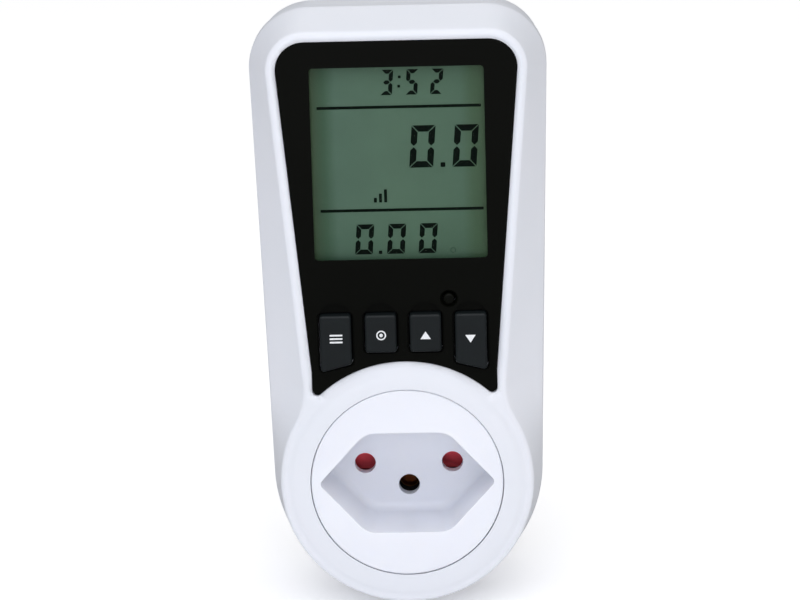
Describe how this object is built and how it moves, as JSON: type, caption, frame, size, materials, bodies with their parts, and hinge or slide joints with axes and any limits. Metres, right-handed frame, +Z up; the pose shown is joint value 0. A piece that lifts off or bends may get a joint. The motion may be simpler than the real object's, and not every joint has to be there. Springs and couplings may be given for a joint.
{
  "type": "plug-in energy cost meter",
  "caption": "Plug-in energy monitor with a display and keys above a round socket insert with a hexagonal recess, and a hexagonal plug boss with round pins behind.",
  "frame": {"origin": "middle of the plug boss's end face, on the line between the live and neutral pins", "axes": "+X to the right as seen from the front, +Y from the display's side into the wall, along the plug pins, +Z up"},
  "size_m": [0.063, 0.0713, 0.1305],
  "materials": {
    "housing_white": "glossy moulded ABS, white with a cool cast",
    "panel_black": "glossy black moulded plastic",
    "key_black": "semi-gloss black moulded plastic",
    "window_clear": "clear acrylic sheet",
    "lcd_green": "grey green liquid crystal cell",
    "holder_white": "moulded plastic",
    "reflector_silver": "satin metallised film",
    "rubber_stripe": "layered conducting rubber",
    "board_green": "glass epoxy board with solder mask",
    "screw_steel": "zinc plated steel",
    "resin_black": "black potting resin",
    "can_steel": "drawn nickel plated can",
    "switch_black": "moulded plastic",
    "plunger_grey": "moulded plastic",
    "capacitor_yellow": "moulded plastic box",
    "capacitor_dark": "sleeved aluminium can",
    "varistor_blue": "dipped resin coat",
    "resistor_grey": "cement coat",
    "alloy_grey": "resistance alloy strip",
    "diode_black": "moulded epoxy",
    "battery_green": "shrunk film sleeve",
    "pin_gold": "thin gold plating",
    "shutter_red": "moulded red plastic",
    "spring_steel": "drawn spring steel",
    "carrier_dark": "moulded polyamide",
    "contact_bronze": "stamped phosphor bronze",
    "bar_brass": "stamped brass",
    "pin_brass": "turned brass",
    "wire_brown": "insulated wire",
    "wire_blue": "insulated wire"
  },
  "bodies": {
    "housing": {"front_housing": "housing_white", "rear_housing": "housing_white", "housing_screws": "screw_steel", "display_panel": "panel_black", "display_window": "window_clear", "lcd_glass": "lcd_green", "lcd_holder": "holder_white", "lcd_reflector": "reflector_silver", "contact_rubbers": "rubber_stripe", "display_board": "board_green", "board_screws": "screw_steel", "controller_blob": "resin_black", "quartz_crystal": "can_steel", "switch_bodies": "switch_black", "power_board": "board_green", "power_board_screws": "screw_steel", "mains_capacitor": "capacitor_yellow", "storage_capacitor": "capacitor_dark", "varistor": "varistor_blue", "fusible_resistor": "resistor_grey", "shunt": "alloy_grey", "metering_chip": "resin_black", "rectifier_diodes": "diode_black", "backup_battery": "battery_green", "battery_tabs": "can_steel", "link_header": "switch_black", "link_pins": "pin_gold", "socket_insert": "housing_white", "shutter_spring": "spring_steel", "contact_carrier": "carrier_dark", "carrier_screws": "screw_steel", "live_contact": "contact_bronze", "neutral_contact": "contact_bronze", "earth_contact": "contact_bronze", "live_bar": "bar_brass", "load_bar": "bar_brass", "neutral_bar": "bar_brass", "earth_bar": "bar_brass", "live_wire": "wire_brown", "load_wire": "wire_brown", "neutral_wire": "wire_blue", "live_pin": "pin_brass", "neutral_pin": "pin_brass", "earth_pin": "pin_brass", "pin_sleeves": "carrier_dark"},
    "function_button": {"function_button": "key_black", "function_plunger": "plunger_grey"},
    "cost_button": {"cost_button": "key_black", "cost_plunger": "plunger_grey"},
    "up_button": {"up_button": "key_black", "up_plunger": "plunger_grey"},
    "down_button": {"down_button": "key_black", "down_plunger": "plunger_grey"},
    "reset_button": {"reset_button": "key_black", "reset_plunger": "plunger_grey"},
    "shutter": {"shutter": "shutter_red"}
  },
  "joints": [
    {"name": "function_press", "type": "slide", "parent": "housing", "child": "function_button", "axis": [0, 1, 0], "range_m": [0, 0.0005], "stiffness_N_per_m": 600, "springref_m": -0.0005},
    {"name": "cost_press", "type": "slide", "parent": "housing", "child": "cost_button", "axis": [0, 1, 0], "range_m": [0, 0.0005], "stiffness_N_per_m": 600, "springref_m": -0.0005},
    {"name": "up_press", "type": "slide", "parent": "housing", "child": "up_button", "axis": [0, 1, 0], "range_m": [0, 0.0005], "stiffness_N_per_m": 600, "springref_m": -0.0005},
    {"name": "down_press", "type": "slide", "parent": "housing", "child": "down_button", "axis": [0, 1, 0], "range_m": [0, 0.0005], "stiffness_N_per_m": 600, "springref_m": -0.0005},
    {"name": "reset_press", "type": "slide", "parent": "housing", "child": "reset_button", "axis": [0, 1, 0], "range_m": [0, 0.0005], "stiffness_N_per_m": 600, "springref_m": -0.0005},
    {"name": "shutter_lift", "type": "slide", "parent": "housing", "child": "shutter", "axis": [0, 0, 1], "range_m": [0, 0.0056], "stiffness_N_per_m": 60, "springref_m": -0.003, "deforming": ["shutter_spring"]}
  ]
}
